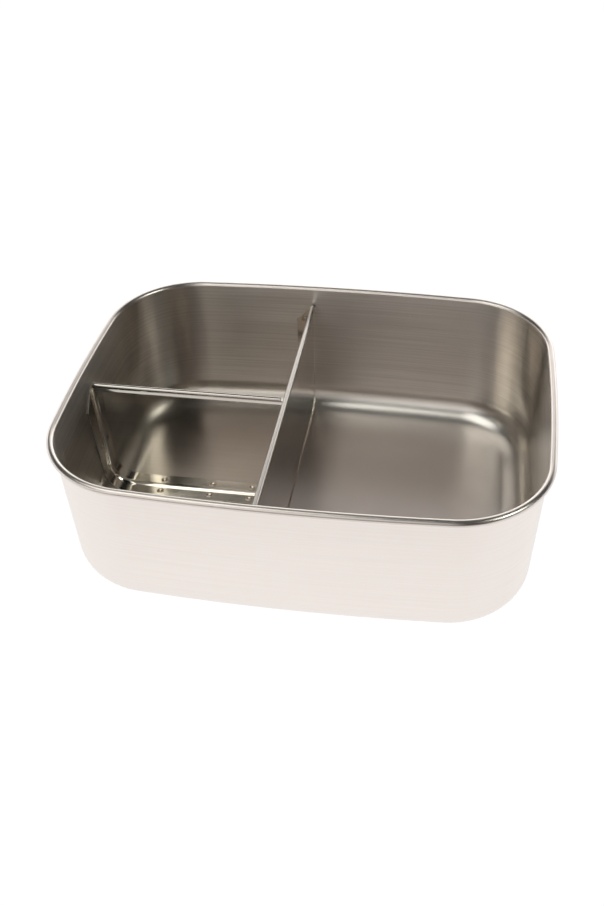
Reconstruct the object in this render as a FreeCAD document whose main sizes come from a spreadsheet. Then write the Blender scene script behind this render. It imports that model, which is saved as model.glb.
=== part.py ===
"""Open stainless bento box: a drawn tray with a curled rim and two spot-welded dividers.

Frame: origin at the middle of the base, +X along the length, +Y to the back, +Z up. Millimetres.
"""
import FreeCAD, Part
import Sketcher
import math
import os

DIMENSIONS = {
    # Tray: one drawn sheet whose edge is rolled outward into a round rim
    "overall_length": 200.0,
    "overall_width": 156.0,
    "overall_height": 65.0,
    "corner_radius": 39.5,
    "long_side_bow": 1000.0,
    "short_side_bow": 800.0,
    "tray_sheet": 0.6,
    "curl_diameter": 3.0,
    "curl_wrap": 285.0,
    "wall_draft": 2.6,
    "base_radius": 12.5,
    # Dividers: folded sheets with a flange towards the tray and a rolled hem on top
    "divider_sheet": 0.5,
    "divider_drop": 8.5,
    "hem_diameter": 2.3,
    "hem_wrap": 325.0,
    "hem_end_gap": 1.0,
    "bend_radius": 1.6,
    "flange_gap": 0.15,
    "floor_flange": 7.2,
    "flange_cut_angle": 45.0,
    "long_wall_flange": 8.1,
    "long_divider_offset": 10.85,
    "cross_wall_flange": 9.6,
    "cross_divider_offset": 0.25,
    "divider_joint_gap": 0.3,
    "hem_joint_gap": 1.0,
    "notch_gap": 0.5,
    # Spot welds: round nuggets through the flanges, sunk a little below the flange face
    "weld_diameter": 2.2,
    "weld_clearance": 0.05,
    "weld_dimple": 0.2,
    "weld_line": 4.2,
    "wall_weld_drop": 16.1,
    "wall_weld_rise": 24.0,
    "floor_weld_inset": 12.3,
    "long_weld_step": 25.0,
    "cross_weld_inset": 18.7,
    "cross_weld_step": 18.3,
}

Vector = FreeCAD.Vector
doc = FreeCAD.newDocument("bento_box")


def fill_sheet():
    """Write the driving dimensions to the sheet, one alias per row."""
    sheet = doc.addObject("Spreadsheet::Sheet", "dims")
    for row, (alias, value) in enumerate(DIMENSIONS.items(), start=1):
        sheet.set(f"A{row}", alias.replace("_", " "))
        sheet.set(f"B{row}", str(value))
        sheet.setAlias(f"B{row}", alias)
    doc.recompute()
    return sheet


sheet = fill_sheet()


def dim(alias):
    """A driving dimension as a plain number, for the first drawing of a sketch."""
    return float(sheet.get(alias))


# Places that several pieces share, written as expressions of the driving dimensions
FLOOR_INSET = "(dims.overall_length / 2 - tray_section.Constraints.floor_reach / 1 mm)"
FLANGE_FLOOR = "(dims.tray_sheet + dims.flange_gap)"
FLANGE_CORNER = "(dims.base_radius - dims.tray_sheet - dims.flange_gap)"
HEM_CENTRE = "(dims.overall_height - dims.divider_drop - dims.hem_diameter / 2)"
WEB_TOP = f"({HEM_CENTRE} - dims.hem_diameter / 2 + dims.divider_sheet / 2)"
BEND_REACH = "(dims.divider_sheet + dims.bend_radius)"
LONG_FACE = "(dims.divider_sheet / 2 - dims.long_divider_offset)"
CROSS_FACE = "(dims.cross_divider_offset + dims.divider_sheet / 2)"
CROSS_END = "(-dims.long_divider_offset - dims.hem_diameter / 2 - dims.divider_joint_gap)"


def bowed_reach(half_size, bow, away):
    """Distance from the middle to a bowed rim, measured at a place away from the middle of that side."""
    return f"({half_size} - {bow} + sqrt({bow} ^ 2 - {away} ^ 2))"


LONG_EDGE = f"(abs({LONG_FACE}) + max(dims.long_wall_flange; dims.floor_flange))"
LONG_REACH = bowed_reach("dims.overall_width / 2", "dims.long_side_bow", LONG_EDGE)
LONG_FLOOR_REACH = f"({LONG_REACH} - {FLOOR_INSET})"
CROSS_EDGE = f"(max(dims.cross_wall_flange; dims.floor_flange) - {CROSS_FACE})"
CROSS_REACH = bowed_reach("dims.overall_length / 2", "dims.short_side_bow", CROSS_EDGE)
CROSS_FLOOR_REACH = f"({CROSS_REACH} - {FLOOR_INSET})"


def wall_reach(floor_reach, height):
    """Distance from the middle to the outer face of a wall flange at a height."""
    start = f"{floor_reach} + {FLANGE_CORNER} * cos(dims.wall_draft)"
    rise = f"{height} - dims.base_radius + {FLANGE_CORNER} * sin(dims.wall_draft)"
    return f"({start} + ({rise}) * tan(dims.wall_draft))"


def value_of(expression):
    """The number that an expression gives now."""
    return float(sheet.evalExpression(expression))


def new_body(label):
    body = doc.addObject("PartDesign::Body", label + "_body")
    body.Label = label
    return body


def new_sketch(body, name, role):
    """An empty sketch on one of the body's own origin planes."""
    sketch = body.newObject("Sketcher::SketchObject", name)
    plane = next(item for item in body.Origin.OriginFeatures if item.Role == role)
    sketch.AttachmentSupport = [(plane, "")]
    sketch.MapMode = "FlatFace"
    return sketch


def link(sketch, kind, *places):
    return sketch.addConstraint(Sketcher.Constraint(kind, *places))


def size(sketch, name, expression, kind, *places):
    """A named dimension of a sketch that follows an expression of the sheet."""
    start = value_of(expression)
    if kind == "Angle":
        start = math.radians(start)
    index = link(sketch, kind, *places, start)
    sketch.renameConstraint(index, name)
    sketch.setExpression("Constraints." + name, expression)


def line(sketch, start, end):
    return sketch.addGeometry(Part.LineSegment(Vector(*start, 0), Vector(*end, 0)), False)


def arc(sketch, centre, radius, start, end):
    circle = Part.Circle(Vector(*centre, 0), Vector(0, 0, 1), radius)
    return sketch.addGeometry(Part.ArcOfCircle(circle, start, end), False)


def polar(centre, radius, angle):
    return centre[0] + radius * math.cos(angle), centre[1] + radius * math.sin(angle)


# Places on a sketch's geometry: the ends and centre of an edge, the origin point and the horizontal axis
START, END, CENTRE = 1, 2, 3
ORIGIN = (-1, 1)
X_AXIS = -1
TOUCH = 1e-6


def draw_tray_section(sketch):
    """Half section of the sheet: curled rim, drafted wall, base curve, cut where the flat floor starts."""
    draft = math.radians(dim("wall_draft"))
    sheet_gauge = dim("tray_sheet")
    curl = dim("curl_diameter") / 2
    curl_centre = (dim("overall_length") / 2 - curl, dim("overall_height") - curl)
    base = dim("base_radius")
    wall_top = polar(curl_centre, curl - sheet_gauge, math.pi - draft)
    floor_reach = wall_top[0] - (base - (base - wall_top[1]) * math.sin(draft)) / math.cos(draft)
    base_centre = (floor_reach, base)
    wall_side = math.pi - draft
    lip_side = wall_side - math.radians(dim("curl_wrap"))

    curl_out = arc(sketch, curl_centre, curl, lip_side, wall_side)
    curl_in = arc(sketch, curl_centre, curl - sheet_gauge, lip_side, wall_side)
    lip = line(sketch, polar(curl_centre, curl, lip_side), polar(curl_centre, curl - sheet_gauge, lip_side))
    base_out = arc(sketch, base_centre, base, -math.pi / 2, -draft)
    base_in = arc(sketch, base_centre, base - sheet_gauge, -math.pi / 2, -draft)
    floor_end = line(sketch, (floor_reach, 0), (floor_reach, sheet_gauge))
    wall_out = line(sketch, wall_top, polar(base_centre, base, -draft))
    wall_in = line(
        sketch, polar(curl_centre, curl, wall_side), polar(base_centre, base - sheet_gauge, -draft)
    )

    link(sketch, "Coincident", curl_out, CENTRE, curl_in, CENTRE)
    link(sketch, "Coincident", base_out, CENTRE, base_in, CENTRE)
    link(sketch, "Coincident", lip, START, curl_out, START)
    link(sketch, "Coincident", lip, END, curl_in, START)
    link(sketch, "Coincident", floor_end, START, base_out, START)
    link(sketch, "Coincident", floor_end, END, base_in, START)
    link(sketch, "Tangent", curl_in, END, wall_out, START)
    link(sketch, "Tangent", base_out, END, wall_out, END)
    link(sketch, "Tangent", curl_out, END, wall_in, START)
    link(sketch, "Tangent", base_in, END, wall_in, END)
    link(sketch, "Vertical", floor_end)
    link(sketch, "Vertical", floor_end, START, base_out, CENTRE)
    link(sketch, "PointOnObject", floor_end, START, X_AXIS)
    size(sketch, "curl_radius", "dims.curl_diameter / 2", "Radius", curl_out)
    size(sketch, "curl_bore", "dims.curl_diameter / 2 - dims.tray_sheet", "Radius", curl_in)
    size(sketch, "curl_wrap", "dims.curl_wrap", "Angle", curl_out)
    size(sketch, "curl_bore_wrap", "dims.curl_wrap", "Angle", curl_in)
    size(sketch, "base_radius", "dims.base_radius", "Radius", base_out)
    size(sketch, "base_bore", "dims.base_radius - dims.tray_sheet", "Radius", base_in)
    curl_reach = "dims.overall_length / 2 - dims.curl_diameter / 2"
    size(sketch, "curl_reach", curl_reach, "DistanceX", *ORIGIN, curl_out, CENTRE)
    curl_height = "dims.overall_height - dims.curl_diameter / 2"
    size(sketch, "curl_height", curl_height, "DistanceY", *ORIGIN, curl_out, CENTRE)
    size(sketch, "base_wrap", "90 - dims.wall_draft", "Angle", base_out)
    reach = link(sketch, "DistanceX", *ORIGIN, floor_end, START, floor_reach)
    sketch.renameConstraint(reach, "floor_reach")
    sketch.setDriving(reach, False)


def corner_centre(half_length, half_width, long_bow, short_bow, corner):
    """Centre of the corner arc that is tangent to a short side and to a long side."""
    reach_short = short_bow - corner
    reach_long = long_bow - corner
    short_x = half_length - short_bow
    long_y = half_width - long_bow
    span = math.hypot(short_x, long_y)
    along = (reach_short ** 2 - reach_long ** 2 + span ** 2) / (2 * span)
    across = math.sqrt(reach_short ** 2 - along ** 2)
    unit_x = -short_x / span
    unit_y = long_y / span
    return short_x + along * unit_x - across * unit_y, along * unit_y + across * unit_x


def draw_floor_outline(sketch):
    """Edge of the flat floor: eight tangent arcs, the right-hand one split where the wall section stands."""
    inset = value_of(FLOOR_INSET)
    half_length = dim("overall_length") / 2
    half_width = dim("overall_width") / 2
    long_bow = dim("long_side_bow")
    short_bow = dim("short_side_bow")
    corner = dim("corner_radius")
    corner_x, corner_y = corner_centre(half_length, half_width, long_bow, short_bow, corner)
    short_x = half_length - short_bow
    long_y = half_width - long_bow
    short_end = math.atan2(corner_y, corner_x - short_x)
    long_end = math.atan2(corner_y - long_y, corner_x)
    turn = math.pi

    right_back = arc(sketch, (short_x, 0), short_bow - inset, 0, short_end)
    back_right = arc(sketch, (corner_x, corner_y), corner - inset, short_end, long_end)
    back = arc(sketch, (0, long_y), long_bow - inset, long_end, turn - long_end)
    back_left = arc(sketch, (-corner_x, corner_y), corner - inset, turn - long_end, turn - short_end)
    left = arc(sketch, (-short_x, 0), short_bow - inset, turn - short_end, turn + short_end)
    front_left = arc(sketch, (-corner_x, -corner_y), corner - inset, turn + short_end, turn + long_end)
    front = arc(sketch, (0, -long_y), long_bow - inset, turn + long_end, 2 * turn - long_end)
    front_right = arc(sketch, (corner_x, -corner_y), corner - inset, -long_end, -short_end)
    right_front = arc(sketch, (short_x, 0), short_bow - inset, -short_end, 0)

    ring = [right_back, back_right, back, back_left, left, front_left, front, front_right, right_front]
    for before, after in zip(ring, ring[1:]):
        link(sketch, "Tangent", before, END, after, START)
    link(sketch, "Coincident", right_front, END, right_back, START)
    link(sketch, "Coincident", right_front, CENTRE, right_back, CENTRE)
    link(sketch, "PointOnObject", right_back, START, X_AXIS)
    for other in (back_left, front_left, front_right):
        link(sketch, "Equal", back_right, other)
    size(sketch, "corner", f"dims.corner_radius - {FLOOR_INSET}", "Radius", back_right)
    size(sketch, "short_side", f"dims.short_side_bow - {FLOOR_INSET}", "Radius", right_back)
    link(sketch, "Equal", right_back, left)
    size(sketch, "long_side", f"dims.long_side_bow - {FLOOR_INSET}", "Radius", back)
    link(sketch, "Equal", back, front)
    short_away = "dims.short_side_bow - dims.overall_length / 2"
    size(sketch, "right_bow_away", short_away, "DistanceX", right_back, CENTRE, *ORIGIN)
    size(sketch, "left_bow_away", short_away, "DistanceX", *ORIGIN, left, CENTRE)
    link(sketch, "PointOnObject", right_back, CENTRE, X_AXIS)
    link(sketch, "PointOnObject", left, CENTRE, X_AXIS)
    long_away = "dims.long_side_bow - dims.overall_width / 2"
    size(sketch, "back_bow_away", long_away, "DistanceY", back, CENTRE, *ORIGIN)
    size(sketch, "front_bow_away", long_away, "DistanceY", *ORIGIN, front, CENTRE)
    link(sketch, "Vertical", back, CENTRE, *ORIGIN)
    link(sketch, "Vertical", front, CENTRE, *ORIGIN)


def make_tray():
    """Flat floor, then the wall section led round the edge of the floor."""
    body = new_body("tray")
    section = new_sketch(body, "tray_section", "XZ_Plane")
    draw_tray_section(section)
    doc.recompute()
    outline = new_sketch(body, "floor_outline", "XY_Plane")
    draw_floor_outline(outline)
    doc.recompute()
    floor = body.newObject("PartDesign::Pad", "tray_floor")
    floor.Profile = outline
    floor.setExpression("Length", "dims.tray_sheet")
    doc.recompute()
    wall = body.newObject("PartDesign::AdditivePipe", "tray_wall")
    wall.Profile = section
    wall.Spine = outline
    doc.recompute()
    return body


def draw_flange_trim(sketch, wall_flange):
    """Waste beside the flange: its free edge widens up the wall, its top corner is cut back to the bend."""
    cut = f"tan(dims.flange_cut_angle) * ({wall_flange} - {BEND_REACH})"
    waste = f"({wall_flange} + dims.floor_flange)"
    corners = [
        (f"{BEND_REACH}", "dims.overall_height"),
        (f"{BEND_REACH}", WEB_TOP),
        (wall_flange, f"{WEB_TOP} - {cut}"),
        ("dims.floor_flange", "0"),
        (waste, "0"),
        (waste, "dims.overall_height"),
    ]
    draw_polygon(sketch, corners)


def draw_polygon(sketch, corners):
    """Closed run of straight edges, each corner given by how far left of and above the origin it lies."""
    points = [(-value_of(away), value_of(height)) for away, height in corners]
    edges = []
    for index, point in enumerate(points):
        edges.append(line(sketch, point, points[(index + 1) % len(points)]))
    for index, (away, height) in enumerate(corners):
        edge = edges[index]
        link(sketch, "Coincident", edges[index - 1], END, edge, START)
        size(sketch, f"away_{index}", away, "DistanceX", edge, START, *ORIGIN)
        if value_of(height) == 0:
            link(sketch, "PointOnObject", edge, START, X_AXIS)
        else:
            size(sketch, f"height_{index}", height, "DistanceY", *ORIGIN, edge, START)


def draw_hem(sketch, away):
    """Section of the rolled hem: a ring that starts in the web and stops just short of it again."""
    radius = dim("hem_diameter") / 2
    bore = radius - dim("divider_sheet")
    centre = (-value_of(away), value_of(HEM_CENTRE))
    start = -math.pi / 2
    end = start + math.radians(dim("hem_wrap"))
    ring_out = arc(sketch, centre, radius, start, end)
    ring_in = arc(sketch, centre, bore, start, end)
    root = line(sketch, polar(centre, radius, start), polar(centre, bore, start))
    lip = line(sketch, polar(centre, radius, end), polar(centre, bore, end))
    link(sketch, "Coincident", ring_out, CENTRE, ring_in, CENTRE)
    link(sketch, "Coincident", root, START, ring_out, START)
    link(sketch, "Coincident", root, END, ring_in, START)
    link(sketch, "Coincident", lip, START, ring_out, END)
    link(sketch, "Coincident", lip, END, ring_in, END)
    link(sketch, "Vertical", root)
    link(sketch, "Vertical", root, START, ring_out, CENTRE)
    size(sketch, "hem_radius", "dims.hem_diameter / 2", "Radius", ring_out)
    size(sketch, "hem_bore", "dims.hem_diameter / 2 - dims.divider_sheet", "Radius", ring_in)
    size(sketch, "hem_wrap", "dims.hem_wrap", "Angle", ring_out)
    size(sketch, "hem_bore_wrap", "dims.hem_wrap", "Angle", ring_in)
    size(sketch, "hem_away", away, "DistanceX", ring_out, CENTRE, *ORIGIN)
    size(sketch, "hem_height", HEM_CENTRE, "DistanceY", *ORIGIN, ring_out, CENTRE)


def draw_long_outline(sketch):
    """Outline of the long divider: floor, both base curves, both drafted walls, straight top."""
    reach = value_of(LONG_FLOOR_REACH)
    base = dim("base_radius")
    floor_height = value_of(FLANGE_FLOOR)
    corner = value_of(FLANGE_CORNER)
    draft = math.radians(dim("wall_draft"))
    top = value_of(WEB_TOP)
    top_reach = value_of(wall_reach(LONG_FLOOR_REACH, WEB_TOP))
    floor = line(sketch, (-reach, floor_height), (reach, floor_height))
    back_curve = arc(sketch, (reach, base), corner, -math.pi / 2, -draft)
    back_wall = line(sketch, polar((reach, base), corner, -draft), (top_reach, top))
    upper = line(sketch, (top_reach, top), (-top_reach, top))
    front_wall = line(sketch, (-top_reach, top), polar((-reach, base), corner, math.pi + draft))
    front_curve = arc(sketch, (-reach, base), corner, math.pi + draft, 3 * math.pi / 2)
    link(sketch, "Tangent", floor, END, back_curve, START)
    link(sketch, "Tangent", back_curve, END, back_wall, START)
    link(sketch, "Coincident", back_wall, END, upper, START)
    link(sketch, "Coincident", upper, END, front_wall, START)
    link(sketch, "Tangent", front_wall, END, front_curve, START)
    link(sketch, "Tangent", front_curve, END, floor, START)
    link(sketch, "Horizontal", floor)
    link(sketch, "Horizontal", upper)
    link(sketch, "Equal", back_curve, front_curve)
    size(sketch, "floor_height", FLANGE_FLOOR, "DistanceY", *ORIGIN, floor, END)
    size(sketch, "back_reach", LONG_FLOOR_REACH, "DistanceX", *ORIGIN, floor, END)
    size(sketch, "front_reach", LONG_FLOOR_REACH, "DistanceX", floor, START, *ORIGIN)
    size(sketch, "corner", FLANGE_CORNER, "Radius", back_curve)
    size(sketch, "back_wrap", "90 - dims.wall_draft", "Angle", back_curve)
    size(sketch, "front_wrap", "90 - dims.wall_draft", "Angle", front_curve)
    size(sketch, "top", WEB_TOP, "DistanceY", *ORIGIN, upper, START)


def draw_cross_outline(sketch):
    """Outline of the cross divider: floor, left base curve, left drafted wall, straight top and right end."""
    reach = value_of(CROSS_FLOOR_REACH)
    base = dim("base_radius")
    floor_height = value_of(FLANGE_FLOOR)
    corner = value_of(FLANGE_CORNER)
    draft = math.radians(dim("wall_draft"))
    top = value_of(WEB_TOP)
    top_reach = value_of(wall_reach(CROSS_FLOOR_REACH, WEB_TOP))
    end = value_of(CROSS_END)
    floor = line(sketch, (-reach, floor_height), (end, floor_height))
    right_end = line(sketch, (end, floor_height), (end, top))
    upper = line(sketch, (end, top), (-top_reach, top))
    left_wall = line(sketch, (-top_reach, top), polar((-reach, base), corner, math.pi + draft))
    left_curve = arc(sketch, (-reach, base), corner, math.pi + draft, 3 * math.pi / 2)
    link(sketch, "Coincident", floor, END, right_end, START)
    link(sketch, "Coincident", right_end, END, upper, START)
    link(sketch, "Coincident", upper, END, left_wall, START)
    link(sketch, "Tangent", left_wall, END, left_curve, START)
    link(sketch, "Tangent", left_curve, END, floor, START)
    link(sketch, "Horizontal", floor)
    link(sketch, "Vertical", right_end)
    link(sketch, "Horizontal", upper)
    size(sketch, "floor_height", FLANGE_FLOOR, "DistanceY", *ORIGIN, floor, START)
    size(sketch, "left_reach", CROSS_FLOOR_REACH, "DistanceX", floor, START, *ORIGIN)
    size(sketch, "corner", FLANGE_CORNER, "Radius", left_curve)
    size(sketch, "left_wrap", "90 - dims.wall_draft", "Angle", left_curve)
    size(sketch, "top", WEB_TOP, "DistanceY", *ORIGIN, upper, START)
    size(sketch, "right_reach", f"abs({CROSS_END})", "DistanceX", right_end, START, *ORIGIN)


def flange_edges(feature, across, kept_clear):
    """Names of the edges round the web's outer face that bend into the flange."""
    names = []
    for number, edge in enumerate(feature.Shape.Edges, start=1):
        on_web = all(abs(across(vertex.Point)) < TOUCH for vertex in edge.Vertexes)
        if on_web and not kept_clear(edge.CenterOfMass):
            names.append(f"Edge{number}")
    return names


def open_faces(feature, is_open):
    """Names of the faces that the folded sheet leaves open."""
    names = []
    for number, face in enumerate(feature.Shape.Faces, start=1):
        if is_open(face.CenterOfMass):
            names.append(f"Face{number}")
    return names


def fold_sheet(body, name, outline, depth, across, kept_clear, is_open):
    """Block of the divider's outline, rounded along the bend and hollowed to the sheet's gauge."""
    block = body.newObject("PartDesign::Pad", name + "_block")
    block.Profile = outline
    block.setExpression("Length", depth)
    doc.recompute()
    if across(block.Shape.CenterOfMass) < 0:
        block.Reversed = True
        doc.recompute()
    bend = body.newObject("PartDesign::Fillet", name + "_bend")
    bend.Base = (block, flange_edges(block, across, kept_clear))
    bend.setExpression("Radius", BEND_REACH)
    doc.recompute()
    folded = body.newObject("PartDesign::Thickness", name + "_sheet")
    folded.Base = (bend, open_faces(bend, is_open))
    folded.setExpression("Value", "dims.divider_sheet")
    folded.Reversed = True
    folded.Join = "Intersection"
    doc.recompute()
    return folded


def cut_through(body, name, sketch):
    """Cut a sketch's shape through the whole body, both ways."""
    pocket = body.newObject("PartDesign::Pocket", name)
    pocket.Profile = sketch
    pocket.Type = "ThroughAll"
    pocket.Midplane = True
    doc.recompute()
    return pocket


def make_long_divider():
    """Front-to-back divider: its flange points left, its hem stops short of both walls."""
    body = new_body("long_divider_sheet")
    body.setExpression("Placement.Base.x", LONG_FACE)
    outline = new_sketch(body, "long_outline", "YZ_Plane")
    draw_long_outline(outline)
    depth = "dims.long_wall_flange + dims.floor_flange"
    far = -value_of(depth)
    top = value_of(WEB_TOP)
    fold_sheet(
        body,
        "long",
        outline,
        depth,
        lambda point: -point.x,
        lambda middle: middle.z > top - TOUCH,
        lambda middle: middle.z > top - TOUCH or middle.x < far + TOUCH,
    )
    trim = new_sketch(body, "long_trim", "XZ_Plane")
    draw_flange_trim(trim, "dims.long_wall_flange")
    cut_through(body, "long_flange_edge", trim)
    section = new_sketch(body, "long_hem_section", "XZ_Plane")
    draw_hem(section, "dims.divider_sheet / 2")
    hem = body.newObject("PartDesign::Pad", "long_hem")
    hem.Profile = section
    hem.Midplane = True
    half = f"({wall_reach(LONG_FLOOR_REACH, HEM_CENTRE)} + dims.flange_gap - dims.hem_end_gap)"
    hem.setExpression("Length", f"2 * {half}")
    doc.recompute()
    return body


def make_cross_divider():
    """Divider of the left part: its flange points to the front, a notch clears the long one's flange."""
    body = new_body("cross_divider_sheet")
    body.setExpression("Placement.Base.y", CROSS_FACE)
    outline = new_sketch(body, "cross_outline", "XZ_Plane")
    draw_cross_outline(outline)
    depth = "dims.cross_wall_flange + dims.floor_flange"
    far = -value_of(depth)
    top = value_of(WEB_TOP)
    end = value_of(CROSS_END)
    fold_sheet(
        body,
        "cross",
        outline,
        depth,
        lambda point: -point.y,
        lambda middle: middle.z > top - TOUCH or middle.x > end - TOUCH,
        lambda middle: middle.z > top - TOUCH or middle.x > end - TOUCH or middle.y < far + TOUCH,
    )
    trim = new_sketch(body, "cross_trim", "YZ_Plane")
    draw_flange_trim(trim, "dims.cross_wall_flange")
    cut_through(body, "cross_flange_edge", trim)
    notch = new_sketch(body, "cross_notch", "XZ_Plane")
    notch_away = f"(abs({LONG_FACE}) + dims.floor_flange + dims.notch_gap)"
    notch_height = f"({FLANGE_FLOOR} + dims.divider_sheet + dims.notch_gap)"
    inner_away = "dims.long_divider_offset / 2"
    draw_polygon(
        notch,
        [(inner_away, "0"), (inner_away, notch_height), (notch_away, notch_height), (notch_away, "0")],
    )
    cut_through(body, "cross_corner_notch", notch)
    section = new_sketch(body, "cross_hem_section", "YZ_Plane")
    draw_hem(section, "dims.divider_sheet / 2")
    right = "(dims.long_divider_offset + dims.hem_diameter / 2 + dims.hem_joint_gap)"
    left = f"({wall_reach(CROSS_FLOOR_REACH, HEM_CENTRE)} + dims.flange_gap - dims.hem_end_gap)"
    section.setExpression("AttachmentOffset.Base.z", f"-{right}")
    hem = body.newObject("PartDesign::Pad", "cross_hem")
    hem.Profile = section
    hem.Reversed = True
    hem.setExpression("Length", f"{left} - {right}")
    doc.recompute()
    return body


# Spot welds stand in the tray's sheet, square to it, and pass through the flange
WELD_ROOT = "(dims.tray_sheet / 2 + dims.flange_gap)"
WELD_HEIGHT = f"({WELD_ROOT} + dims.divider_sheet - dims.weld_dimple)"
HOLE_HEIGHT = f"({WELD_ROOT} + dims.divider_sheet * 2)"
WELD_HEIGHTS = ("(dims.overall_height - dims.wall_weld_drop)", "dims.wall_weld_rise")
UPRIGHT = Vector(0, 0, 1)


def wall_weld(floor_reach, height):
    """Distance out from the middle and height of the root of a weld on a wall."""
    out = f"({wall_reach(floor_reach, height)} + {WELD_ROOT} * cos(dims.wall_draft))"
    return out, f"({height} - {WELD_ROOT} * sin(dims.wall_draft))"


def long_weld_places():
    """Root, turning axis and turn of each weld of the long divider: floor, back wall and front wall."""
    across = f"{LONG_FACE} - dims.weld_line"
    far = f"({LONG_FLOOR_REACH} - dims.floor_weld_inset)"
    near = f"({far} - dims.long_weld_step)"
    root = "dims.tray_sheet / 2"
    places = [((across, sign + along, root), UPRIGHT, "0") for along in (far, near) for sign in ("", "-")]
    for height in WELD_HEIGHTS:
        out, up = wall_weld(LONG_FLOOR_REACH, height)
        places.append(((across, out, up), Vector(1, 0, 0), "90 - dims.wall_draft"))
        places.append(((across, "-" + out, up), Vector(-1, 0, 0), "90 - dims.wall_draft"))
    return places


def cross_weld_places():
    """Root, turning axis and turn of each weld of the cross divider: floor and left wall."""
    across = f"{CROSS_FACE} - dims.weld_line"
    right = f"({LONG_FACE} - dims.cross_weld_inset)"
    middle = f"({right} - dims.cross_weld_step)"
    left = f"(dims.floor_weld_inset - {CROSS_FLOOR_REACH})"
    root = "dims.tray_sheet / 2"
    places = [((along, across, root), UPRIGHT, "0") for along in (right, middle, left)]
    for height in WELD_HEIGHTS:
        out, up = wall_weld(CROSS_FLOOR_REACH, height)
        places.append((("-" + out, across, up), Vector(0, 1, 0), "90 - dims.wall_draft"))
    return places


def make_posts(name, places, radius, height):
    """Group of round posts of one size, one at each place."""
    posts = []
    for number, (root, axis, turn) in enumerate(places, start=1):
        post = doc.addObject("Part::Cylinder", f"{name}_{number}")
        post.setExpression("Radius", radius)
        post.setExpression("Height", height)
        post.Placement = FreeCAD.Placement(Vector(), FreeCAD.Rotation(axis, value_of(turn)))
        post.setExpression("Placement.Rotation.Angle", turn)
        for letter, place in zip("xyz", root):
            post.setExpression("Placement.Base." + letter, place)
        posts.append(post)
    group = doc.addObject("Part::Compound", name)
    group.Links = posts
    doc.recompute()
    return group


def make_cut(label, base, tool):
    cut = doc.addObject("Part::Cut", label)
    cut.Label = label
    cut.Base = base
    cut.Tool = tool
    doc.recompute()
    return cut


def fasten(label, body, places, tray):
    """Pierce a divider at its welds, and seat each weld on the tray's inner face."""
    hole = "dims.weld_diameter / 2 + dims.weld_clearance"
    pierced = make_cut(label, body, make_posts(label + "_holes", places, hole, HOLE_HEIGHT))
    posts = make_posts(label + "_posts", places, "dims.weld_diameter / 2", WELD_HEIGHT)
    return pierced, make_cut(label + "_welds", posts, tray)


def check_document():
    """Stop if any object failed or any sketch is not fully held."""
    for item in doc.Objects:
        if "Invalid" in item.State or "Error" in item.State:
            raise RuntimeError(f"{item.Name} failed: {item.State}")
        if item.isDerivedFrom("Sketcher::SketchObject") and not item.FullyConstrained:
            raise RuntimeError(f"{item.Name} is not fully constrained")


def export_parts(parts, solids):
    """Write each sub-part under its label, after its shape and its count of solids are found good."""
    for part in parts:
        if part.Shape.isNull() or not part.Shape.isValid():
            raise RuntimeError(f"{part.Label} has no valid shape")
        if len(part.Shape.Solids) != solids.get(part.Label, 1):
            raise RuntimeError(f"{part.Label} has {len(part.Shape.Solids)} solids")
    os.makedirs("parts", exist_ok=True)
    for part in parts:
        part.Shape.exportStep(f"parts/{part.Label}.step")
        print(part.Label, len(part.Shape.Solids), "solids", round(part.Shape.Volume, 1), "mm3")


tray = make_tray()
long_places = long_weld_places()
cross_places = cross_weld_places()
long_divider, long_welds = fasten("long_divider", make_long_divider(), long_places, tray)
cross_divider, cross_welds = fasten("cross_divider", make_cross_divider(), cross_places, tray)
doc.recompute()
check_document()
export_parts(
    [tray, long_divider, cross_divider, long_welds, cross_welds],
    {"long_divider_welds": len(long_places), "cross_divider_welds": len(cross_places)},
)
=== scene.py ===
"""Divided steel lunch tray: its drawn shell, folded dividers and spot welds, and the studio round it."""

import math
from collections import namedtuple

import bmesh
import bpy
from bpy.props import FloatProperty, FloatVectorProperty, PointerProperty
from bpy.types import Operator, Panel, PropertyGroup
from mathutils import Matrix, Vector, geometry


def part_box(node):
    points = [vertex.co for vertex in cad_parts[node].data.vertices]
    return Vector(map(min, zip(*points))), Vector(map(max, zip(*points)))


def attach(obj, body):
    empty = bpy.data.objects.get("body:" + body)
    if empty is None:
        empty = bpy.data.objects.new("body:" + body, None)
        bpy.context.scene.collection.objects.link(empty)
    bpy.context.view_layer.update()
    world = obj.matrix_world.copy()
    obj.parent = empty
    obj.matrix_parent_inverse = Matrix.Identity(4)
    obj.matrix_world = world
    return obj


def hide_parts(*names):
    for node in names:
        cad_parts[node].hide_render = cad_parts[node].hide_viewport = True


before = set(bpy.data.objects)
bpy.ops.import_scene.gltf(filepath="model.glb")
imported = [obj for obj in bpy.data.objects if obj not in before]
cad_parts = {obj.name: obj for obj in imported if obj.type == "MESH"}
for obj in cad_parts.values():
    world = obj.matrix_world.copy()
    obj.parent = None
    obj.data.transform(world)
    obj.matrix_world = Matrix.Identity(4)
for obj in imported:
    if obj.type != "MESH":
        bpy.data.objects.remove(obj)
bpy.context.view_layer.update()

bl_info = {
    "name": "Divided Lunch Tray",
    "version": (1, 0, 0),
    "blender": (4, 5, 0),
    "location": "View3D > Sidebar > Lunch Tray",
    "description": "Finishes the three compartment steel tray and sets a white studio round it",
    "category": "Object",
}

TRAY_LOW, TRAY_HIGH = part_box("tray")
PHOTO_WIDTH = 604
PHOTO_HEIGHT = 906
SHARP_ANGLE = math.radians(50)


def length(name, description, default):
    """A property that holds a length in metres."""
    return FloatProperty(name=name, description=description, default=default, unit="LENGTH", precision=5)


def angle(name, description, degrees):
    """A property that holds an angle, given in degrees."""
    return FloatProperty(name=name, description=description, default=math.radians(degrees), subtype="ANGLE")


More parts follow.
